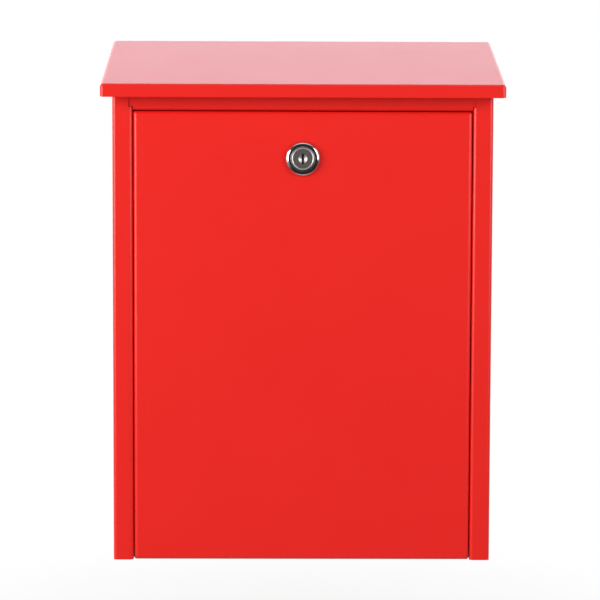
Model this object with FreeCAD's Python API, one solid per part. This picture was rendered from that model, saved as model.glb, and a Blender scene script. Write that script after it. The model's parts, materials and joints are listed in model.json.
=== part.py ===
import FreeCAD, Part
import math
import os

from FreeCAD import Placement, Rotation, Vector

# Wall mounted post box in folded sheet steel, with a lift-up roof lid and a drop-down
# door with a cam lock. Sizes are in millimetres, angles in degrees.
# The origin is the middle of the wall holes, on the back face. +X is to the right for
# someone who faces the door, +Y goes into the wall and +Z is up.
# Heights below are above the underside of the box; at() brings them into this frame.

# Sheet, folds and clearances
sheet = 1.0
fold = 1.0                      # inside radius of the folds inside the box
face_fold = 2.0                 # inside radius of the folds that show
seat_gap = 0.3                  # between a piece and the stop that it rests against
running = 0.05                  # radial, round a shaft that turns
press = 0.02                    # radial, round a pin or bush that is fixed
tiny = 0.001                    # places closer than this count as the same

# Case
case_width = 303.0
case_depth = 126.0
strip_width = 16.1              # front strip beside the door
return_depth = 12.0             # edge of the strip, folded back into the case

# Holes for the wall screws
wall_hole_radius = 3.5
wall_hole_span_x = 200.0
wall_hole_span_z = 230.0
wall_hole_middle = 175.0        # height of the pattern's middle

# Lid
lid_front_height = 381.0        # top edge of the front rim
lid_slope = 16.5
lid_rim = 10.0
lid_overhang_front = 14.0
lid_overhang_side = 8.5
lid_gap = 7.0                   # from the slot plate up to the lid

# Door
door_drop = 20.8                # top edge, below the front edge of the lid
door_gap_side = 0.7
door_gap_top = 0.7
door_gap_bottom = 0.2
door_flange = 12.0
door_corner = 1.5               # rounding of the door's four corners
door_open = 100.0               # angle at which the door's lower edge meets the sill

# Door pivots
pivot_setback = 6.0             # behind the front face
pivot_rise = 5.0                # above the door's lower edge
pivot_radius = 2.0
pivot_head_radius = 2.9
pivot_head_height = 1.6
pivot_reach = 2.0               # pin end, past the inner face of the door's side flange
bush_wall = 1.0
bush_flange_radius = 4.0
bush_inside = 1.0               # bush end, past the inner face of the door's side flange

# Top frame: catch lip, header and slot plate in one sheet
catch_setback = 18.0            # front of the catch lip, behind the front face
catch_drop = 11.5               # catch lip, below the top of the opening
frame_flange = 12.0             # side flanges and rear flange
slot_setback = 36.0             # front edge of the letter slot, behind the front face
slot_width = 34.0
slot_margin = 20.0              # from each end of the slot to the side wall
slot_corner = 8.0
slot_collar = 5.0               # drawn edge of the slot, below the plate

# Letter guard under the slot
guard_lead = 4.5                # ahead of the slot's front edge
guard_flange = 9.0
guard_drop = 34.0
guard_run = 46.0
guard_fall = 34.0
guard_lip = 8.0
guard_side_gap = 2.0

# Floor
floor_flange = 14.0
sill_cover = 1.0                # sill edge, ahead of the door's pivot line
drain_radius = 3.0
drain_inset = 28.0

# Piano hinge of the lid
knuckle_radius = 3.0
knuckle_length = 25.0           # nearest even share of the hinge's length
knuckle_gap = 0.3
hinge_pin_radius = 1.5
leaf_thickness = 1.0
leaf_width = 16.0
leaf_start = 0.8                # where a knuckle's tongue leaves it
hinge_margin = 12.0             # from each end of the hinge to the side wall

# Rubber buffers
buffer_radius = 3.5
buffer_stem = 2.0
buffer_bulge = 2.8
buffer_bulge_height = 2.2
buffer_crown = 0.5              # rise of the domed head
lid_buffer_inset = 33.0         # from the side of the case
lid_buffer_setback = 16.0       # behind the front face
door_buffer_inset = 36.0        # from the side of the opening

# Cam lock
lock_drop = 37.4                # lock axis, below the door's top edge
gasket = 0.8
gasket_radius = 13.0
bezel_radius = 13.6
bezel_edge = 0.6
bezel_top_radius = 10.4
bezel_height = 2.8
bezel_chamfer = 0.3             # at the edge of the plug's recess
barrel_radius = 9.4
barrel_flat = 7.9               # half the distance across the barrel's flats
barrel_fit = 0.1
nut_across = 24.0
nut_thickness = 4.0
nut_chamfer = 0.8
plug_radius = 6.45
plug_face_radius = 9.3
plug_face_flat = 7.6            # flat part of the face, inside its rounded edge
plug_face_drop = 0.7            # from the flat down to the face's edge
plug_head = 2.2
dimple_radius = 3.5
dimple_floor = 1.2
dimple_depth = 0.8
keyway_width = 1.6
keyway_height = 8.0
keyway_depth = 15.0
wafer_count = 5
wafer_pitch = 2.4
wafer_thickness = 0.8
wafer_width = 5.0
wafer_height = 11.6
wafer_first = 1.6               # first wafer, behind the plug's head
tail_square = 7.8
cam_thickness = 2.0
cam_length = 40.0
cam_hub_radius = 9.0
cam_tip_width = 13.0
washer_radius = 5.5
washer_thickness = 1.0
screw_radius = 2.0
screw_length = 8.0
screw_head_radius = 4.2
screw_head_height = 2.4
screw_slot_width = 1.0
screw_slot_depth = 1.1

# Places that follow from the sizes above
tan_slope = math.tan(math.radians(lid_slope))
cos_slope = math.cos(math.radians(lid_slope))
sin_slope = math.sin(math.radians(lid_slope))
uphill = Vector(0, cos_slope, sin_slope)
skyward = Vector(0, -sin_slope, cos_slope)
forward = Vector(0, -1, 0)

front_y = -case_depth
half_case = case_width / 2
half_inside = half_case - sheet
half_opening = half_case - strip_width

lid_front_y = front_y - lid_overhang_front
half_lid = half_case + lid_overhang_side
hinge_reach = knuckle_radius + seat_gap
pin_y = -sheet - hinge_reach
lid_rear_y = pin_y - (hinge_reach + sheet) * sin_slope
plate_depth = sheet + lid_gap   # slot plate's top, below the lid's outer face

half_door = half_opening - door_gap_side
door_top = lid_front_height - door_drop
door_rear_y = front_y + door_flange
opening_top = door_top + door_gap_top
header_bottom = opening_top + face_fold + sheet

pivot_y = front_y + pivot_setback
pivot_height = door_gap_bottom + pivot_rise
heel_radius = math.hypot(door_rear_y - pivot_y, pivot_rise)
heel_angle = math.degrees(math.atan2(-pivot_rise, door_rear_y - pivot_y))
sill_height = pivot_height + heel_radius * math.sin(math.radians(heel_angle + door_open)) + seat_gap
sill_wall_y = pivot_y + heel_radius + seat_gap

half_header = half_inside - face_fold - seat_gap
catch_y = front_y + catch_setback
plate_front_y = front_y + return_depth + seat_gap
slot_front_y = front_y + slot_setback
slot_length = 2 * (half_inside - slot_margin)

lock_height = door_top - lock_drop
cam_y = catch_y + sheet + seat_gap
barrel_end = cam_y - seat_gap - front_y
bezel_top = gasket + bezel_height
head_seat = bezel_top - plug_head


def at(x, y, height):
    """Point of the frame at a height above the underside."""
    return Vector(x, y, height - wall_hole_middle)


def under_lid(y, depth=0.0):
    """Height at y of the plane that lies depth below the lid's outer face."""
    return lid_front_height + (y - lid_front_y) * tan_slope - depth / cos_slope


# Ways of making a shape


def block(low, high):
    """Box between two opposite corners."""
    size = high - low
    return Part.makeBox(size.x, size.y, size.z, low)


def outline(start, steps, place):
    """Closed wire of lines and arcs; a step is a point, or the middle and end of an arc."""
    edges = []
    here = start
    closing = [] if steps[-1][-1] == start else [start]
    for step in steps + closing:
        if isinstance(step[0], tuple):
            middle, end = step
            edges.append(Part.Arc(place(*here), place(*middle), place(*end)).toShape())
            here = end
        else:
            edges.append(Part.LineSegment(place(*here), place(*step)).toShape())
            here = step
    return Part.Wire(edges)


def prism(start, steps, place, travel):
    """Outline filled and carried straight along travel."""
    return Part.Face(outline(start, steps, place)).extrude(travel)


def turned(start, steps, base, axis):
    """Solid of revolution; the outline gives radius and height along axis from base."""
    wire = outline(start, steps, lambda radius, height: Vector(radius, 0, height))
    solid = Part.Face(wire).revolve(Vector(0, 0, 0), Vector(0, 0, 1), 360)
    solid.Placement = Placement(base, Rotation(Vector(0, 0, 1), axis))
    return solid


def rod(radius, base, travel):
    """Round bar from base along travel."""
    return Part.makeCylinder(radius, travel.Length, base, travel)


def punched(shape, radius, seat, axis):
    """Shape with a round hole through the one sheet that lies under seat, against axis."""
    return shape.cut(rod(radius, seat - axis * (2 * sheet), axis * (3 * sheet)))


def round_over(radius, low, top_radius, top):
    """Step of an outline: an edge rounded from radius and low, in to top_radius at top."""
    diagonal = math.sqrt(2) / 2
    middle = (top_radius + diagonal * (radius - top_radius), low + diagonal * (top - low))
    return (middle, (top_radius, top))


def dome(radius, low, rise):
    """Step of an outline that ends on the axis: a round head from radius and low, rise high."""
    ball = (radius**2 + rise**2) / (2 * rise)
    half_way = math.sqrt(ball**2 - (radius / 2) ** 2) - (ball - rise)
    return ((radius / 2, low + half_way), (0, low + rise))


def folded(corners, place, travel, insides):
    """Sheet folded along the corners of its middle line, carried along travel.

    Each corner becomes two arcs about one centre: the given inside radius on the inside
    of the bend, and that radius plus the sheet on the outside.
    """
    points = [Vector(u, v, 0) for u, v in corners]
    runs = [(b - a).normalize() for a, b in zip(points, points[1:])]
    lefts = [Vector(-run.y, run.x, 0) for run in runs]
    sides = []
    for side in (1, -1):
        edges = []
        here = points[0] + lefts[0] * (side * sheet / 2)
        bends = zip(points[1:], runs, lefts, lefts[1:], insides)
        for corner, run, left, next_left, inside in bends:
            middle = inside + sheet / 2
            turn = math.acos(max(-1.0, min(1.0, left.dot(next_left))))
            hand = 1 if left.cross(next_left).z > 0 else -1
            centre = corner - run * (middle * math.tan(turn / 2)) + left * (hand * middle)
            reach = -hand * (middle - side * hand * sheet / 2)
            half_way = (left + next_left).normalize()
            start = centre + left * reach
            end = centre + next_left * reach
            edges.append((here, start))
            edges.append((start, centre + half_way * reach, end))
            here = end
        edges.append((here, points[-1] + lefts[-1] * (side * sheet / 2)))
        sides.append(edges)
    loop = sides[0] + [(sides[0][-1][-1], sides[1][-1][-1])]
    loop += [tuple(reversed(edge)) for edge in reversed(sides[1])]
    loop.append((sides[1][0][0], sides[0][0][0]))
    lines = [[place(point.x, point.y) for point in edge] for edge in loop]
    wire = Part.Wire(
        [(Part.LineSegment(*e) if len(e) == 2 else Part.Arc(*e)).toShape() for e in lines]
    )
    return Part.Face(wire).extrude(travel)


def side_view(x):
    """Placing of a section that is drawn in Y and height, at x."""
    return lambda y, height: at(x, y, height)


def mirrored(shape):
    """The same piece on the other side of the box."""
    return shape.mirror(Vector(0, 0, 0), Vector(1, 0, 0))


def clean(shape):
    """Shape with its coplanar faces joined, as one solid."""
    shape = shape.removeSplitter()
    return shape.Solids[0] if len(shape.Solids) == 1 else shape


def edges_where(shape, test):
    """Edges of a shape whose middle point and length pass a test."""
    return [edge for edge in shape.Edges if test(edge.CenterOfMass, edge.Length)]


# Case


def case_wrapper():
    """Back, two sides and two front strips, folded from one sheet.

    Beside the header the strips lose their folded edges, and the header lies behind them.
    """
    wall = half_case - sheet / 2
    edge = half_opening + sheet / 2
    face = front_y + sheet / 2
    end = front_y + return_depth
    right = [(edge, end), (edge, face), (wall, face), (wall, -sheet / 2)]
    left = [(-x, y) for x, y in reversed(right)]
    top = under_lid(0)
    insides = [face_fold] * (len(right + left) - 2)
    wrapper = folded(right + left, lambda x, y: at(x, y, 0), Vector(0, 0, top), insides)
    notch = block(
        at(half_opening - sheet, front_y - sheet, header_bottom - seat_gap),
        at(half_opening + face_fold + sheet, end + sheet, top),
    )
    wrapper = wrapper.cut(above_case()).cut(notch).cut(mirrored(notch))
    for x in (-wall_hole_span_x / 2, wall_hole_span_x / 2):
        for z in (-wall_hole_span_z / 2, wall_hole_span_z / 2):
            wrapper = punched(wrapper, wall_hole_radius, Vector(x, 0, z), Vector(0, 1, 0))
    pivot_holes = rod(
        pivot_radius + press, at(-half_inside, pivot_y, pivot_height), Vector(2 * half_inside, 0, 0)
    )
    return clean(wrapper.cut(pivot_holes))


def above_case():
    """Space above the plane of the slot plate's top, which trims the case's walls."""
    front = front_y - sheet
    rear = sheet
    high = lid_front_height + case_depth
    corners = [(rear, under_lid(rear, plate_depth)), (rear, high), (front, high)]
    start = (front, under_lid(front, plate_depth))
    return prism(start, corners, side_view(-case_width), Vector(2 * case_width, 0, 0))


def floor_pan():
    """Floor with turned-up edges, whose front runs over the door's heel as a sill."""
    level = sheet / 2
    rear = -sheet - sheet / 2
    wall = sill_wall_y + sheet / 2
    sill = sill_height + sheet / 2
    inside = half_inside - 2 * (fold + sheet)
    corners = [(rear, floor_flange), (rear, level), (wall, level), (wall, sill)]
    corners.append((pivot_y - sill_cover, sill))
    pan = folded(corners, side_view(-inside), Vector(2 * inside, 0, 0), [fold] * 3)
    notch = block(
        at(half_door - 2 * sheet - seat_gap, front_y, sill_height - sheet),
        at(half_case, sill_wall_y, sill_height + 2 * sheet),
    )
    pan = pan.cut(notch).cut(mirrored(notch))
    first = sill_wall_y + sheet + fold
    run = -2 * sheet - face_fold - first
    edge = half_inside - sheet / 2
    tray = [(-edge, floor_flange), (-edge, level), (edge, level), (edge, floor_flange)]
    floor = folded(tray, lambda x, h: at(x, first, h), Vector(0, run, 0), [fold] * 2)
    pan = pan.fuse(floor)
    for x in (-1, 1):
        for y in (first + drain_inset, first + run - drain_inset):
            drain = at(x * (half_inside - drain_inset), y, sheet)
            pan = punched(pan, drain_radius, drain, Vector(0, 0, 1))
    return clean(pan)


def top_frame():
    """Catch lip, header and sloping slot plate, folded from one sheet.

    Catch lip and ledge fit between the folded edges of the front strips, and the header
    above them reaches behind the strips.
    """
    middle = plate_depth + sheet / 2
    lip = catch_y + sheet / 2
    header = front_y + sheet + sheet / 2
    ledge = opening_top + sheet / 2
    rear = -sheet - leaf_thickness - sheet / 2
    corners = [(lip, opening_top - catch_drop), (lip, ledge), (header, ledge)]
    corners += [(header, under_lid(header, middle)), (rear, under_lid(rear, middle))]
    corners.append((rear, under_lid(rear, middle) - frame_flange))
    insides = [fold, face_fold, fold, fold]
    frame = folded(corners, side_view(-half_header), Vector(2 * half_header, 0, 0), insides)
    beside = block(
        at(half_opening - seat_gap, front_y, opening_top - catch_drop - sheet),
        at(half_case, catch_y + 2 * sheet, header_bottom),
    )
    frame = frame.cut(beside).cut(mirrored(beside))
    frame = frame.fuse(slot_plate_sides()).fuse(slot_opening(sheet + slot_collar, sheet))
    frame = frame.cut(slot_opening(3 * (sheet + slot_collar), 0.0, sheet))
    for x in (-1, 1):
        frame = punched(frame, buffer_stem + press, lid_buffer_seat(x), skyward)
        frame = punched(frame, buffer_stem + press, door_buffer_seat(x), forward)
    return clean(frame)


def slot_plate_sides():
    """Slot plate at full width behind the front strips, with its side flanges."""
    edge = half_inside - sheet / 2
    start = at(0, plate_front_y, under_lid(plate_front_y, plate_depth))
    rear = -2 * (fold + sheet) - frame_flange * sin_slope
    run = (rear - plate_front_y) / cos_slope
    drop = frame_flange
    middle = -sheet / 2
    corners = [(-edge, -drop), (-edge, middle), (edge, middle), (edge, -drop)]

    def place(x, depth):
        return start + Vector(x, 0, 0) + skyward * depth

    return folded(corners, place, uphill * run, [fold] * 2)


def slot_opening(depth, wall, rise=0.0):
    """Round-cornered block through the slot plate, wall larger than the slot all round."""
    start = at(0, slot_front_y, under_lid(slot_front_y, plate_depth)) + skyward * rise
    half = slot_length / 2 + wall
    low = -wall
    high = slot_width + wall
    solid = prism(
        (-half, low),
        [(half, low), (half, high), (-half, high)],
        lambda x, run: start + Vector(x, 0, 0) + uphill * run,
        skyward * -(depth + rise),
    )
    corners = edges_where(solid, lambda middle, length: abs(length - depth - rise) < tiny)
    return solid.makeFillet(slot_corner + wall, corners)


def letter_guard():
    """Baffle under the slot, which lets letters slide down but keeps a hand out."""
    under = plate_depth + sheet + sheet / 2
    front = slot_front_y - guard_lead
    start = front - guard_flange
    knee = under_lid(front, under) - guard_drop
    tail = front + guard_run
    corners = [(start, under_lid(start, under)), (front, under_lid(front, under)), (front, knee)]
    corners += [(tail, knee - guard_fall), (tail, knee - guard_fall - guard_lip)]
    half = half_inside - guard_side_gap
    return clean(folded(corners, side_view(-half), Vector(2 * half, 0, 0), [fold] * 3))


# Door


def door_panel():
    """Door folded as a shallow pan, with the lock's hole and the bush holes."""
    outer = rounded_pan(0.0, door_rear_y, face_fold + sheet, door_corner)
    inner = rounded_pan(sheet, door_rear_y + sheet, face_fold, door_corner - sheet / 2)
    door = outer.cut(inner).cut(lock_barrel(barrel_fit, gasket, -2 * sheet))
    bush_holes = rod(
        pivot_radius + bush_wall + press,
        at(-half_opening, pivot_y, pivot_height),
        Vector(2 * half_opening, 0, 0),
    )
    return clean(door.cut(bush_holes))


def rounded_pan(inset, rear, front_radius, corner_radius):
    """Block of the door up to rear, inset by a wall, with rounded front edges and corners."""
    front = front_y + inset
    low = at(-half_door + inset, front, door_gap_bottom + inset)
    pan = block(low, at(half_door - inset, rear, door_top - inset))
    corners = edges_where(pan, lambda middle, length: abs(length - (rear - front)) < tiny)
    pan = pan.makeFillet(corner_radius, corners)
    rim = edges_where(pan, lambda middle, length: abs(middle.y - front) < tiny)
    return pan.makeFillet(front_radius, rim)


def door_pivot():
    """Right-hand pivot rivet, fixed in the folded edge of the front strip."""
    head_x = half_opening + sheet
    length = head_x - (half_door - sheet - pivot_reach)
    tip = pivot_radius / 4
    edge = pivot_head_height / 3
    steps = [(pivot_radius - tip, -length), (pivot_radius, -length + tip), (pivot_radius, 0)]
    steps += [(pivot_head_radius, 0), (pivot_head_radius, edge)]
    steps.append(dome(pivot_head_radius, edge, pivot_head_height - edge))
    return turned((0, -length), steps, at(head_x, pivot_y, pivot_height), Vector(1, 0, 0))


def door_bush():
    """Right-hand flanged bush, pressed into the door's side flange."""
    bore = pivot_radius + running
    body = pivot_radius + bush_wall
    flange = door_gap_side - seat_gap
    inner = -sheet - bush_inside
    steps = [(body, inner), (body, 0), (bush_flange_radius, 0)]
    steps += [(bush_flange_radius, flange), (bore, flange)]
    return turned((bore, inner), steps, at(half_door, pivot_y, pivot_height), Vector(1, 0, 0))


# Lock


def lock_point(reach):
    """Point on the lock's axis, reach in front of the door's face."""
    return at(0, front_y - reach, lock_height)


def lock_barrel(wall, high, low):
    """Round barrel with two flats, wall larger all round, between two places on its axis."""
    radius = barrel_radius + wall
    flat = barrel_flat + wall
    barrel = rod(radius, lock_point(low), forward * (high - low))
    corner = at(-flat, front_y - high, lock_height - radius)
    return barrel.common(block(corner, at(flat, front_y - low, lock_height + radius)))


def lock_housing():
    """Barrel with its flats, and the polished bezel that lies on the door."""
    bore = plug_radius + running
    recess = plug_face_radius + running
    shoulder = gasket + bezel_edge
    steps = [(bezel_radius, gasket), (bezel_radius, shoulder)]
    steps.append(round_over(bezel_radius, shoulder, bezel_top_radius, bezel_top))
    steps += [(recess + bezel_chamfer, bezel_top), (recess, bezel_top - bezel_chamfer)]
    steps += [(recess, head_seat), (bore, head_seat)]
    bezel = turned((bore, gasket), steps, lock_point(0), forward)
    barrel = lock_barrel(0.0, gasket, -barrel_end)
    barrel = barrel.cut(rod(bore, lock_point(-barrel_end), forward * (barrel_end + gasket)))
    return clean(barrel.fuse(bezel))


def lock_gasket():
    """Rubber ring between the bezel and the door."""
    ring = rod(gasket_radius, lock_point(0), forward * gasket)
    return clean(ring.cut(lock_barrel(barrel_fit, gasket, 0.0)))


def lock_nut():
    """Hexagon nut that clamps the barrel to the back of the door's skin."""
    corner = nut_across / math.sqrt(3)
    angles = [math.radians(60 * k) for k in range(6)]
    points = [(corner * math.cos(a), corner * math.sin(a)) for a in angles]
    back = front_y + sheet
    through = Vector(0, nut_thickness, 0)
    nut = prism(points[0], points[1:], lambda x, z: at(x, back, lock_height + z), through)
    steps = [(corner, 0), (corner, nut_thickness - nut_chamfer)]
    steps += [(nut_across / 2, nut_thickness), (0, nut_thickness)]
    cone = turned((0, 0), steps, at(0, back, lock_height), Vector(0, 1, 0))
    bore = rod(barrel_radius + press, at(0, back, lock_height), through)
    return clean(nut.common(cone).cut(bore))


def lock_plug():
    """Plug with its rounded face, keyway, wafer slots and square tail."""
    shoulder = -(cam_y - front_y)
    tail = shoulder - cam_thickness + seat_gap
    seat = head_seat + running
    dimple = bezel_top - dimple_depth
    steps = [(plug_radius, shoulder), (plug_radius, seat), (plug_face_radius, seat)]
    steps.append((plug_face_radius, bezel_top - plug_face_drop))
    steps.append(round_over(plug_face_radius, steps[-1][1], plug_face_flat, bezel_top))
    steps += [(dimple_radius, bezel_top), (dimple_floor, dimple), (0, dimple)]
    plug = turned((0, shoulder), steps, lock_point(0), forward)
    plug = plug.fuse(lock_bar(tail_square, tail_square, shoulder, tail))
    plug = plug.cut(lock_bar(keyway_width, keyway_height, bezel_top, bezel_top - keyway_depth))
    for index in range(wafer_count):
        plug = plug.cut(wafer_block(index, running))
    bore = rod(screw_radius + press, lock_point(tail), forward * screw_length)
    return clean(plug.cut(bore))


def lock_bar(width, height, high, low):
    """Bar of rectangular section on the lock's axis, between two places on it."""
    corner = lock_point(high) - Vector(width / 2, 0, height / 2)
    return block(corner, corner + Vector(width, high - low, height))


def wafer_block(index, fit):
    """Block of one wafer, or of its slot when fit is added."""
    high = head_seat - wafer_first - index * wafer_pitch
    width = wafer_width + 2 * fit
    return lock_bar(width, wafer_height + 2 * fit, high + fit, high - wafer_thickness - fit)


def lock_wafers():
    """Thin plates in the plug, each with a window for the key."""
    window = lock_bar(keyway_width, keyway_height, bezel_top, -barrel_end)
    return Part.makeCompound([wafer_block(k, 0.0).cut(window) for k in range(wafer_count)])


def lock_cam():
    """Flat cam that swings behind the catch lip; at rest it points to the side."""
    tip = cam_tip_width / 2
    hub = cam_hub_radius
    corner = cam_length - tip
    steps = [(corner, -tip), ((cam_length, 0), (corner, tip)), (0, hub), ((-hub, 0), (0, -hub))]
    through = Vector(0, cam_thickness, 0)
    cam = prism((0, -hub), steps, lambda x, z: at(x, cam_y, lock_height + z), through)
    hole = tail_square + 2 * press
    near = front_y - cam_y
    return clean(cam.cut(lock_bar(hole, hole, near, near - cam_thickness)))


def cam_washer():
    """Plain washer under the screw's head."""
    base = at(0, cam_y + cam_thickness, lock_height)
    ring = rod(washer_radius, base, Vector(0, washer_thickness, 0))
    return ring.cut(rod(screw_radius + press, base, Vector(0, washer_thickness, 0)))


def cam_screw():
    """Slotted screw that holds the cam on the plug's tail."""
    base = at(0, cam_y + cam_thickness + washer_thickness, lock_height)
    reach = -washer_thickness - screw_length
    edge = screw_head_height / 2
    steps = [(screw_radius, reach), (screw_radius, 0), (screw_head_radius, 0)]
    steps.append((screw_head_radius, edge))
    steps.append(dome(screw_head_radius, edge, screw_head_height - edge))
    screw = turned((0, reach), steps, base, Vector(0, 1, 0))
    low = base + Vector(-screw_head_radius, screw_head_height - screw_slot_depth, -screw_slot_width / 2)
    slot = block(low, low + Vector(2 * screw_head_radius, 2 * screw_slot_depth, screw_slot_width))
    return clean(screw.cut(slot))


# Lid


def lid():
    """Roof lid folded from one sheet: skin, front rim and two side rims along the slope."""
    outer = wedge(half_lid, lid_front_y, 0.0, face_fold + sheet, lid_rear_y)
    inner_rear = lid_rear_y + 2 * sheet
    inner = wedge(half_lid - sheet, lid_front_y + sheet, sheet, face_fold, inner_rear)
    return clean(outer.cut(inner))


def wedge(half, front, depth, radius, rear):
    """Sloping block whose top lies depth below the lid's face, with rounded edges."""
    drop = lid_rim + depth
    corners = [(front, under_lid(front, depth)), (rear, under_lid(rear, depth))]
    corners.append((rear, under_lid(rear) - drop))
    start = (front, under_lid(front) - drop)
    body = prism(start, corners, side_view(-half), Vector(2 * half, 0, 0))

    def is_fold(middle, length):
        on_front = abs(middle.y - front) < tiny
        across = abs(length - 2 * half) < tiny
        on_top = middle.z > at(0, 0, under_lid(middle.y, depth)).z - tiny
        return (on_front and (on_top or not across)) or (on_top and not across)

    return body.makeFillet(radius, edges_where(body, is_fold))


# Lid hinge


def knuckle_spans():
    """Ends along X of each knuckle, from left to right."""
    length = 2 * (half_inside - hinge_margin)
    count = 2 * round((length / knuckle_length - 1) / 2) + 1
    pitch = length / count
    return [(-length / 2 + k * pitch, -length / 2 + (k + 1) * pitch) for k in range(count)]


def hinge_leaf(first, away, outward):
    """Leaf with every other knuckle, from the first; away is along it, outward is its back."""
    pin = at(0, pin_y, under_lid(pin_y, sheet + hinge_reach))
    spans = knuckle_spans()
    left = spans[0][0]
    right = spans[-1][1]
    near = hinge_reach - leaf_thickness

    def slab(start, end, x_start, x_end):
        return prism(
            (start, near), [(end, near), (end, hinge_reach), (start, hinge_reach)],
            lambda run, height: pin + away * run + outward * height + Vector(x_start, 0, 0),
            Vector(x_end - x_start, 0, 0),
        )

    leaf = slab(hinge_reach, leaf_width, left, right)
    for start, end in spans[first::2]:
        low = start + (knuckle_gap / 2 if start > left else 0.0)
        high = end - (knuckle_gap / 2 if end < right else 0.0)
        barrel = rod(knuckle_radius, pin + Vector(low, 0, 0), Vector(high - low, 0, 0))
        leaf = leaf.fuse(barrel.fuse(slab(leaf_start, leaf_width / 2, low, high)))
    bore = rod(hinge_pin_radius + running, pin + Vector(left, 0, 0), Vector(right - left, 0, 0))
    return clean(leaf.cut(bore))


def hinge_pin():
    """Pin through all knuckles, with bevelled ends."""
    left = knuckle_spans()[0][0]
    length = -2 * left
    bevel = hinge_pin_radius / 4
    end = hinge_pin_radius - bevel
    steps = [(end, 0), (hinge_pin_radius, bevel), (hinge_pin_radius, length - bevel)]
    steps += [(end, length), (0, length)]
    base = at(left, pin_y, under_lid(pin_y, sheet + hinge_reach))
    return turned((0, 0), steps, base, Vector(1, 0, 0))


# Rubber buffers


def buffer(seat, axis, height):
    """Push-in rubber buffer: crowned head on the seat, stem through the sheet, bulge behind."""
    shoulder = height - buffer_crown
    tip = -sheet - buffer_bulge_height
    steps = [(buffer_stem / 2, tip), (buffer_bulge, -sheet), (buffer_stem, -sheet)]
    steps += [(buffer_stem, 0), (buffer_radius, 0), (buffer_radius, shoulder)]
    steps.append(dome(buffer_radius, shoulder, buffer_crown))
    return turned((0, tip), steps, seat, axis)


def lid_buffer_seat(side):
    """Where a lid buffer stands on the slot plate."""
    y = front_y + lid_buffer_setback
    return at(side * (half_case - lid_buffer_inset), y, under_lid(y, plate_depth))


def door_buffer_seat(side):
    """Where a door buffer stands on the front of the catch lip, clear of the lip's fold."""
    height = opening_top - fold - buffer_radius
    return at(side * (half_opening - door_buffer_inset), catch_y, height)


def lid_buffers():
    """Two buffers that the lid comes down on."""
    height = lid_gap - seat_gap
    return Part.makeCompound([buffer(lid_buffer_seat(x), skyward, height) for x in (-1, 1)])


def door_buffers():
    """Two buffers that the door's top flange closes on."""
    height = catch_y - door_rear_y - seat_gap
    return Part.makeCompound([buffer(door_buffer_seat(x), forward, height) for x in (-1, 1)])


nodes = {
    "case_wrapper": case_wrapper,
    "floor_pan": floor_pan,
    "top_frame": top_frame,
    "letter_guard": letter_guard,
    "door_panel": door_panel,
    "door_pivot_right": door_pivot,
    "door_pivot_left": lambda: mirrored(door_pivot()),
    "door_bush_right": door_bush,
    "door_bush_left": lambda: mirrored(door_bush()),
    "lock_housing": lock_housing,
    "lock_gasket": lock_gasket,
    "lock_nut": lock_nut,
    "lock_plug": lock_plug,
    "lock_wafers": lock_wafers,
    "lock_cam": lock_cam,
    "cam_washer": cam_washer,
    "cam_screw": cam_screw,
    "lid": lid,
    "hinge_leaf_case": lambda: hinge_leaf(0, Vector(0, 0, -1), Vector(0, 1, 0)),
    "hinge_leaf_lid": lambda: hinge_leaf(1, uphill * -1, skyward),
    "hinge_pin": hinge_pin,
    "lid_buffers": lid_buffers,
    "door_buffers": door_buffers,
}

os.makedirs("parts", exist_ok=True)
for name, make in nodes.items():
    shape = make()
    shape.exportStep("parts/" + name + ".step")
    print(name, len(shape.Solids), "solid", shape.isValid(), round(shape.Volume), "mm3")
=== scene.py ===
import json
import math

import bpy
import numpy as np
from mathutils import Matrix, Vector


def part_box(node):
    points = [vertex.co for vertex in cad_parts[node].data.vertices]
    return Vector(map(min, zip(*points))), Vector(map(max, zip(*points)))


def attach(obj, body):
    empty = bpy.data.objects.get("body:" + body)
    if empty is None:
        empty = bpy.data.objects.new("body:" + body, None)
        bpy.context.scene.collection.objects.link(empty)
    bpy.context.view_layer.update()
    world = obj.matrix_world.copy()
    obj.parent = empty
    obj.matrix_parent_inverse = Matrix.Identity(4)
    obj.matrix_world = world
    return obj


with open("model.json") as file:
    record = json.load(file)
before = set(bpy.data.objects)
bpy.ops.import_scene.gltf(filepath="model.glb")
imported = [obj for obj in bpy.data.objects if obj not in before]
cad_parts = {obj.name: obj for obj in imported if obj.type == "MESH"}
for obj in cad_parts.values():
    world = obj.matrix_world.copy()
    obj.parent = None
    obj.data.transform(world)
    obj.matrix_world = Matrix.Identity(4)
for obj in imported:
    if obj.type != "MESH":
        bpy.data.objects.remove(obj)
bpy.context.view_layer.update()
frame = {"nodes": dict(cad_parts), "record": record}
nodes = frame["nodes"]

# Lengths are in metres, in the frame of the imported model: +X right, +Y into the wall, +Z up.
# A brightness of 1 is white. A direction's parts to the right, to the back and up go from -1 to 1.

# Camera, as the photograph was taken
CAMERA_PLACE = (-0.01588, -1.78123, 0.1661)
CAMERA_PITCH = 4.519            # degrees, looking down
CAMERA_YAW = -0.484
CAMERA_ROLL = 0.192
CAMERA_REACH = 50.0
FOCAL_PIXELS = 2078.8
FRAME_PIXELS = 600
SENSOR_WIDTH = 36.0             # millimetres

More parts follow.
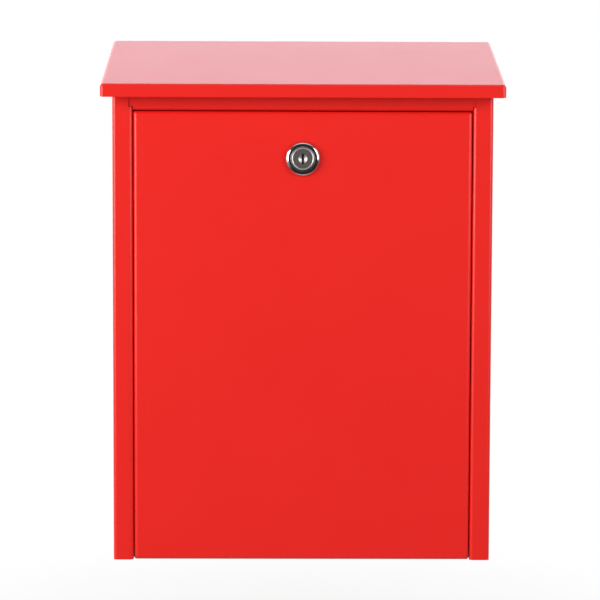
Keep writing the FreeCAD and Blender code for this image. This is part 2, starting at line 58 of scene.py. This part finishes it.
# Tones of the finishes, dark and light
RED_TONES = (0.845, 0.0140, 0.0098), (0.875, 0.0170, 0.0116)
CHROME_TONES = (0.76, 0.75, 0.77), (0.82, 0.81, 0.83)
BEAD_TONES = (0.82, 0.80, 0.80), (0.90, 0.88, 0.88)
ZINC_TONES = (0.52, 0.53, 0.54), (0.66, 0.66, 0.64)
RUBBER_TONES = (0.022, 0.022, 0.023), (0.04, 0.039, 0.038)
NYLON_TONES = (0.026, 0.026, 0.028), (0.036, 0.036, 0.037)
BRASS_TONES = (0.55, 0.38, 0.14), (0.68, 0.5, 0.22)
PLUG_BRIGHT = (0.76, 0.72, 0.72)
PLUG_DULL = (0.33, 0.29, 0.295)
# Colour of the painted shade down the keyway
PLUG_SHADE_COLOUR = (0.05, 0.045, 0.04)
PLUG_CLOUDS = 0.1               # how much fine clouds take part in the change from one to the next

# Powder coat
COAT_EDGE = 0.0003              # radius that the coat gives a sharp edge
WAVE_SIZE, WAVE_HEIGHT = 0.12, 0.0006
PEEL_SIZE, PEEL_HEIGHT = 0.0018, 0.00006

# Face of the lock's plug, with a bright bead round it, a bright dimple in the middle and painted shade down
# the keyway
BEAD_RADIUS = 0.0083            # middle of the bead, from the lock's axis
BEAD_WIRE = 0.0005
BEAD_SUNK = 0.0002              # middle of the wire, behind the plug's front
BEAD_STEPS, WIRE_STEPS = 160, 20
DIMPLE_RADIUS = 0.0035
DIMPLE_FADE = (0.9, 1.2)        # from bright to dull, as shares of its radius squared
# Painted shade down the keyway: depths behind the plug's front over which its colour goes from bright to dark
KEYWAY_SHADE_DEPTHS = (0.0012, 0.003)   # from bright to dark, behind the plug's front

# Floor
FLOOR_DROP = 0.08               # below the box that hangs above it, so that the open door clears it
FLOOR_MIDDLE = 0.02             # radius of the one face in the middle
FLOOR_CLEAR = 0.17              # the floor is solid up to here, and fades out to its edge
FLOOR_RADIUS = 0.48
FLOOR_STEPS = 96
PAPER_GLOW = 0.88               # share of the floor's look that is plain white

# Surroundings. Each pair says where a change starts and ends along one part of a direction.
AMBIENT_LOW = 0.42              # light from all round, below and at the box's height
AMBIENT_HIGH = 0.05             # the same from above
AMBIENT_RISE = (-0.2, 0.8)      # up, from the low light to the high
GLOOM = 0.02                    # brightness that metal and paint mirror in front of the box
GLOOM_END = (-0.25, 0.35)       # to the back, from the gloom to white
OVERHEAD = 0.9                  # share of white that they mirror above the box
OVERHEAD_RISE = (0.62, 0.85)    # up, from the gloom to that share
HAZE = 0.22                     # what a haze adds to the gloom towards the top left
HAZE_SLANT = 0.5                # how far its foot comes down for each step to the left
HAZE_FOOT = (-0.25, 0.10)       # up, from none to the haze, in the middle
HAZE_HEAD = (0.12, 0.40)        # up, from the haze to none again
HAZE_GAP = (-0.99, -0.90)       # to the back, from none straight ahead to the haze

# Softboxes: place, width, height, brightness, tint
LAMP_TARGET = (0.0, -0.08, 0.02)
LAMPS = {
    "softbox_left": ((-1.65, -1.20, 0.47), 1.35, 1.15, 7.5, (1.0, 0.97, 0.90)),
    "softbox_right": ((1.50, -1.30, 0.64), 0.90, 1.25, 5.9, (1.0, 1.0, 1.0)),
    "softbox_behind": ((0.0, 1.75, 1.12), 2.60, 1.20, 1.6, (0.83, 0.88, 1.0)),
    "softbox_low_behind": ((0.0, 1.90, 0.10), 1.80, 0.80, 2.4, (1.0, 1.0, 1.0)),
}

WHITE = (1.0, 1.0, 1.0, 1.0)
GREY = (0.35, 0.35, 0.35, 1.0)


class Value:
    """A number that varies over a surface: the output of a node, which takes part in sums."""

    def __init__(self, finish, socket):
        self.finish = finish
        self.socket = socket

    def sum(self, operation, first, second):
        """What a maths node makes of two numbers."""
        return self.finish.node("ShaderNodeMath", {"operation": operation}, {0: first, 1: second})

    def __add__(self, other):
        return self.sum("ADD", self, other)

    def __radd__(self, other):
        return self.sum("ADD", other, self)

    def __sub__(self, other):
        return self.sum("SUBTRACT", self, other)

    def __rsub__(self, other):
        return self.sum("SUBTRACT", other, self)

    def __mul__(self, other):
        return self.sum("MULTIPLY", self, other)

    def __rmul__(self, other):
        return self.sum("MULTIPLY", other, self)


class Finish:
    """A material: its shader's fixed values, and the nodes that feed what varies."""

    def __init__(self, name, **fixed):
        self.material = bpy.data.materials.new(name)
        self.material.use_nodes = True
        self.tree = self.material.node_tree
        self.shader = self.tree.nodes["Principled BSDF"]
        for socket, value in fixed.items():
            self.set(socket, value)

    def node(self, kind, settings, inputs, output=0):
        """Adds a node, gives it its settings and then its inputs, and returns one output."""
        node = self.tree.nodes.new(kind)
        for name, value in settings.items():
            setattr(node, name, value)
        for name, value in inputs.items():
            self.feed(node.inputs[name], value)
        return Value(self, node.outputs[output])

    def feed(self, socket, value):
        """Links a value to a socket, or writes a plain number or colour there."""
        if isinstance(value, Value):
            self.tree.links.new(value.socket, socket)
        else:
            socket.default_value = value

    def set(self, socket, value):
        """Feeds the shader's socket of that name."""
        self.feed(self.shader.inputs[socket], value)

    def place(self):
        """Place on the object at rest."""
        return self.node("ShaderNodeTexCoord", {}, {}, "Object")

    def parts(self, where):
        """The three parts of a place or of a direction: to the right, to the back and up."""
        return [self.node("ShaderNodeSeparateXYZ", {}, {0: where}, axis) for axis in "XYZ"]

    def noise(self, size, detail=2.0):
        """Cloudy pattern from 0 to 1 whose patches are about size across."""
        scale = (1.0 / size,) * 3
        where = self.node("ShaderNodeMapping", {}, {"Vector": self.place(), "Scale": scale})
        return self.node("ShaderNodeTexNoise", {}, {"Vector": where, "Scale": 1.0, "Detail": detail})

    def blend(self, share, first, second):
        """Colour between two others, each given as three numbers or made by other nodes."""
        first, second = (c if isinstance(c, Value) else (*c, 1.0) for c in (first, second))
        inputs = {"Factor": share, 6: first, 7: second}
        return self.node("ShaderNodeMix", {"data_type": "RGBA"}, inputs, 2)

    def ramp(self, value, start, end, first=0.0, last=1.0):
        """Smooth change from first to last while value goes from start to end."""
        inputs = {"Value": value, "From Min": start, "From Max": end, "To Min": first, "To Max": last}
        return self.node("ShaderNodeMapRange", {"interpolation_type": "SMOOTHSTEP"}, inputs)

    def bump(self, height, distance, under=None):
        """Surface relief: height from 0 to 1, which stands for distance in metres."""
        inputs = {"Height": height, "Distance": distance, "Strength": 1.0}
        if under is not None:
            inputs["Normal"] = under
        return self.node("ShaderNodeBump", {}, inputs)


# Finishes


def red_powder_coat():
    """Satin powder coat: an even red with slow changes of tone, orange peel and a slight waviness.

    The coat draws back from sharp edges, so light catches them as if they were rounded.
    """
    coat = Finish("red_powder_coat", IOR=1.48)
    coat.set("Base Color", coat.blend(coat.noise(0.09, 3.0), *RED_TONES))
    coat.set("Roughness", 0.30 + 0.04 * coat.noise(0.03, 3.0))
    edge = coat.node("ShaderNodeBevel", {"samples": 4}, {"Radius": COAT_EDGE})
    wave = coat.bump(coat.noise(WAVE_SIZE, 1.0), WAVE_HEIGHT, edge)
    coat.set("Normal", coat.bump(coat.noise(PEEL_SIZE, 1.0), PEEL_HEIGHT, wave))
    return coat.material


def lock_chrome():
    """Polished chrome plate with a trace of brushing under it."""
    chrome = Finish("lock_chrome", Metallic=1.0)
    chrome.set("Base Color", chrome.blend(chrome.noise(0.006), *CHROME_TONES))
    chrome.set("Roughness", 0.10 + 0.06 * chrome.noise(0.002, 3.0))
    chrome.set("Normal", chrome.bump(chrome.noise(0.0008), 0.000002))
    return chrome.material


def plug_chrome():
    """Satin chrome of the plug, bright in its dimple and dull round it, with shade painted dark down the
    keyway.
    """
    chrome = Finish("plug_chrome", Metallic=1.0)
    low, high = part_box("lock_plug")
    right, back, up = chrome.parts(chrome.place())
    right = right - (low.x + high.x) / 2
    up = up - (low.z + high.z) / 2
    dull = chrome.ramp(right * right + up * up, *(share * DIMPLE_RADIUS**2 for share in DIMPLE_FADE))
    # Painted shade: the colour darkens with depth down the keyway, which lies in shade.
    keyway_shade = chrome.ramp(back, *(low.y + depth for depth in KEYWAY_SHADE_DEPTHS))
    clouds = chrome.noise(0.0012, 3.0)
    metal = chrome.blend(dull + PLUG_CLOUDS * clouds, PLUG_BRIGHT, PLUG_DULL)
    # Painted shade down the keyway, mixed with dark clouds at random over the whole face.
    keyway_shade_and_clouds = (1.0 - PLUG_CLOUDS) * keyway_shade + PLUG_CLOUDS * clouds
    chrome.set("Base Color", chrome.blend(keyway_shade_and_clouds, metal, PLUG_SHADE_COLOUR))
    chrome.set("Roughness", 0.40 + 0.1 * clouds)
    chrome.set("Normal", chrome.bump(chrome.noise(0.0007), 0.000008))
    return chrome.material


def bead_chrome():
    """Satin chrome of the bead round the plug's face, rubbed bright."""
    chrome = Finish("bead_chrome", Metallic=1.0)
    chrome.set("Base Color", chrome.blend(chrome.noise(0.001), *BEAD_TONES))
    chrome.set("Roughness", 0.40 + 0.08 * chrome.noise(0.002, 3.0))
    return chrome.material


def zinc_plate():
    """Bright zinc plate, faintly clouded."""
    zinc = Finish("zinc_plate", Metallic=1.0)
    zinc.set("Base Color", zinc.blend(zinc.noise(0.008, 4.0), *ZINC_TONES))
    zinc.set("Roughness", 0.26 + 0.16 * zinc.noise(0.003, 4.0))
    zinc.set("Normal", zinc.bump(zinc.noise(0.0006), 0.000004))
    return zinc.material


def black_rubber():
    """Moulded rubber, matt, with a trace of bloom."""
    rubber = Finish("black_rubber")
    rubber.set("Base Color", rubber.blend(rubber.noise(0.004, 4.0), *RUBBER_TONES))
    rubber.set("Roughness", 0.62 + 0.2 * rubber.noise(0.0015, 3.0))
    rubber.set("Normal", rubber.bump(rubber.noise(0.0005), 0.00001))
    return rubber.material


def black_nylon():
    """Turned nylon, satin, with fine tool marks."""
    nylon = Finish("black_nylon")
    nylon.set("Base Color", nylon.blend(nylon.noise(0.004, 3.0), *NYLON_TONES))
    nylon.set("Roughness", 0.42 + 0.12 * nylon.noise(0.001, 3.0))
    nylon.set("Normal", nylon.bump(nylon.noise(0.0004), 0.000008))
    return nylon.material


def wafer_brass():
    """Stamped brass, a little tarnished."""
    brass = Finish("wafer_brass", Metallic=1.0)
    brass.set("Base Color", brass.blend(brass.noise(0.002, 4.0), *BRASS_TONES))
    brass.set("Roughness", 0.28 + 0.14 * brass.noise(0.001, 3.0))
    brass.set("Normal", brass.bump(brass.noise(0.0003), 0.000004))
    return brass.material


# Trim


def put(name, data):
    """New object in the scene, of a mesh, a lamp or a lens."""
    item = bpy.data.objects.new(name, data)
    bpy.context.scene.collection.objects.link(item)
    return item


def mesh_of(name, points, faces):
    """Mesh of an array of points and an array or a list of the numbers of each face's corners."""
    mesh = bpy.data.meshes.new(name)
    mesh.from_pydata(points.reshape(-1, 3).tolist(), [], faces)
    return mesh


def wrapped_grid(name, points):
    """Closed surface through a grid of points whose rows and columns both join up at their ends."""
    rows, columns = points.shape[:2]
    number = np.arange(rows * columns).reshape(rows, columns)
    ahead = np.roll(number, -1, axis=0)
    beside = np.roll(number, -1, axis=1)
    both = np.roll(ahead, -1, axis=1)
    faces = np.stack([number, ahead, both, beside], -1).reshape(-1, 4)
    mesh = mesh_of(name, points, faces.tolist())
    mesh.shade_smooth()
    return put(name, mesh)


def plug_bead():
    """Round wire, bent to a circle about the lock's axis.

    One angle runs round the axis and sets the way out, across and up. The other runs round the wire: its
    cosine adds to the distance from the axis, and its sine brings the surface forward.
    """
    low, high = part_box("lock_plug")
    turn = np.linspace(0, 2 * np.pi, BEAD_STEPS, False)[:, None]
    roll = np.linspace(0, 2 * np.pi, WIRE_STEPS, False)[None, :]
    out = BEAD_RADIUS + BEAD_WIRE * np.cos(roll)
    forward = BEAD_WIRE * np.sin(roll) - BEAD_SUNK
    x = (low.x + high.x) / 2 + out * np.cos(turn)
    z = (low.z + high.z) / 2 + out * np.sin(turn)
    points = np.stack(np.broadcast_arrays(x, low.y - forward, z), -1)
    bead = wrapped_grid("plug_bead", points)
    bead.data.materials.append(bead_chrome())
    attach(bead, body_of["lock_plug"])


# Room: floor, light and camera


def sight_lines(finish):
    """1 or 0 for each kind of path on which a surface is seen: by the camera, in metal, through glass."""
    names = ("Is Camera Ray", "Is Glossy Ray", "Is Transmission Ray")
    return [finish.node("ShaderNodeLightPath", {}, {}, name) for name in names]


def paper():
    """White studio paper that keeps a shadow, fades into the white around it and is clear from below."""
    white = Finish("paper", Roughness=0.9)
    white.set("Base Color", GREY)
    camera_ray, glossy_ray, through_ray = sight_lines(white)
    glow = white.node("ShaderNodeEmission", {}, {"Color": WHITE})
    share = PAPER_GLOW * (camera_ray + glossy_ray + through_ray)
    lit = white.node("ShaderNodeMixShader", {}, {0: share, 1: Value(white, white.shader.outputs[0]), 2: glow})
    clear = white.node("ShaderNodeBsdfTransparent", {}, {})
    reach = white.node("ShaderNodeVectorMath", {"operation": "LENGTH"}, {0: white.place()}, 1)
    below = white.node("ShaderNodeNewGeometry", {}, {}, "Backfacing")
    kept = (1.0 - white.ramp(reach, FLOOR_CLEAR, FLOOR_RADIUS)) * (1.0 - below)
    out = white.node("ShaderNodeMixShader", {}, {0: kept, 1: clear, 2: lit})
    white.feed(white.tree.nodes["Material Output"].inputs[0], out)
    return white.material


def floor():
    """Round white floor that fades out around the box.

    Three rings of points, each a circle about the middle of the box's back. The innermost is one face, and
    four-sided faces join each ring to the next.
    """
    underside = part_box("case_wrapper")[0].z - FLOOR_DROP
    turn = np.linspace(0, 2 * np.pi, FLOOR_STEPS, False)
    radius = np.array([[FLOOR_MIDDLE], [FLOOR_CLEAR], [FLOOR_RADIUS]])
    points = np.stack(np.broadcast_arrays(radius * np.cos(turn), radius * np.sin(turn), underside), -1)
    number = np.arange(radius.size * turn.size).reshape(radius.size, turn.size)
    beside = np.roll(number, -1, axis=1)
    quads = np.stack([number[:-1], number[1:], beside[1:], beside[:-1]], -1).reshape(-1, 4)
    disc = put("floor", mesh_of("floor", points, [number[0].tolist(), *quads.tolist()]))
    disc.data.materials.append(paper())


def softbox(name, place, width, height, brightness, tint):
    """Rectangular lamp whose face has this brightness. It shines at the box and isn't seen itself."""
    lamp = bpy.data.lights.new(name, "AREA")
    lamp.shape = "RECTANGLE"
    lamp.size = width
    lamp.size_y = height
    lamp.energy = brightness * math.pi * width * height
    lamp.color = tint
    holder = put(name, lamp)
    turn = (Vector(LAMP_TARGET) - Vector(place)).to_track_quat("-Z", "Y")
    holder.matrix_world = Matrix.Translation(place) @ turn.to_matrix().to_4x4()
    holder.visible_camera = False


def camera():
    """Camera of the photograph, from the fit of its edges."""
    lens = bpy.data.cameras.new("camera")
    lens.sensor_width = SENSOR_WIDTH
    lens.lens = SENSOR_WIDTH * FOCAL_PIXELS / FRAME_PIXELS
    lens.clip_end = CAMERA_REACH
    turn = Matrix.Rotation(math.radians(CAMERA_YAW), 4, "Z")
    turn = turn @ Matrix.Rotation(math.radians(90.0 - CAMERA_PITCH), 4, "X")
    turn = turn @ Matrix.Rotation(math.radians(CAMERA_ROLL), 4, "Z")
    holder = put("camera", lens)
    holder.matrix_world = Matrix.Translation(CAMERA_PLACE) @ turn
    bpy.context.scene.camera = holder


class Room(Finish):
    """The world's nodes, made in the same way as a finish."""

    def __init__(self, name):
        self.material = bpy.data.worlds.new(name)
        self.material.use_nodes = True
        self.tree = self.material.node_tree
        self.shader = self.tree.nodes["Background"]


def surroundings():
    """White studio. The camera sees it white and it sheds a plain grey light. Metal and paint mirror it
    white behind and above the box, and dim in front, with a haze to the top left, all but straight ahead.
    """
    room = Room("studio")
    camera_ray, glossy_ray, through_ray = sight_lines(room)
    right, back, up = room.parts(room.node("ShaderNodeTexCoord", {}, {}, "Generated"))
    haze = HAZE * room.ramp(up - HAZE_SLANT * right, *HAZE_FOOT) * room.ramp(up, *HAZE_HEAD, 1.0, 0.0)
    haze = haze * room.ramp(back, *HAZE_GAP)
    dark = room.ramp(back, *GLOOM_END, 1.0, 0.0) * (1.0 - OVERHEAD * room.ramp(up, *OVERHEAD_RISE))
    mirrored = 1.0 - dark * (1.0 - GLOOM - haze)
    seen = camera_ray + through_ray + glossy_ray * mirrored
    unseen = 1.0 - (camera_ray + through_ray + glossy_ray)
    shed = unseen * room.ramp(up, *AMBIENT_RISE, AMBIENT_LOW, AMBIENT_HIGH)
    room.set("Strength", seen + shed)
    room.set("Color", WHITE)
    bpy.context.scene.world = room.material


record = frame["record"]
slot_of = {part["node"]: part["material_slot"] for part in record["subparts"]}
body_of = {node: body for body, group in record["behaviour"]["bodies"].items() for node in group}
finishes = {
    "red_powder_coat": red_powder_coat(),
    "lock_chrome": lock_chrome(),
    "zinc_plate": zinc_plate(),
    "black_rubber": black_rubber(),
    "black_nylon": black_nylon(),
    "wafer_brass": wafer_brass(),
}
for name, node in nodes.items():
    node.data.materials.clear()
    node.data.materials.append(plug_chrome() if name == "lock_plug" else finishes[slot_of[name]])
plug_bead()

for name, lamp in LAMPS.items():
    softbox(name, *lamp)
floor()
camera()
surroundings()
bpy.context.scene.view_settings.view_transform = "Standard"
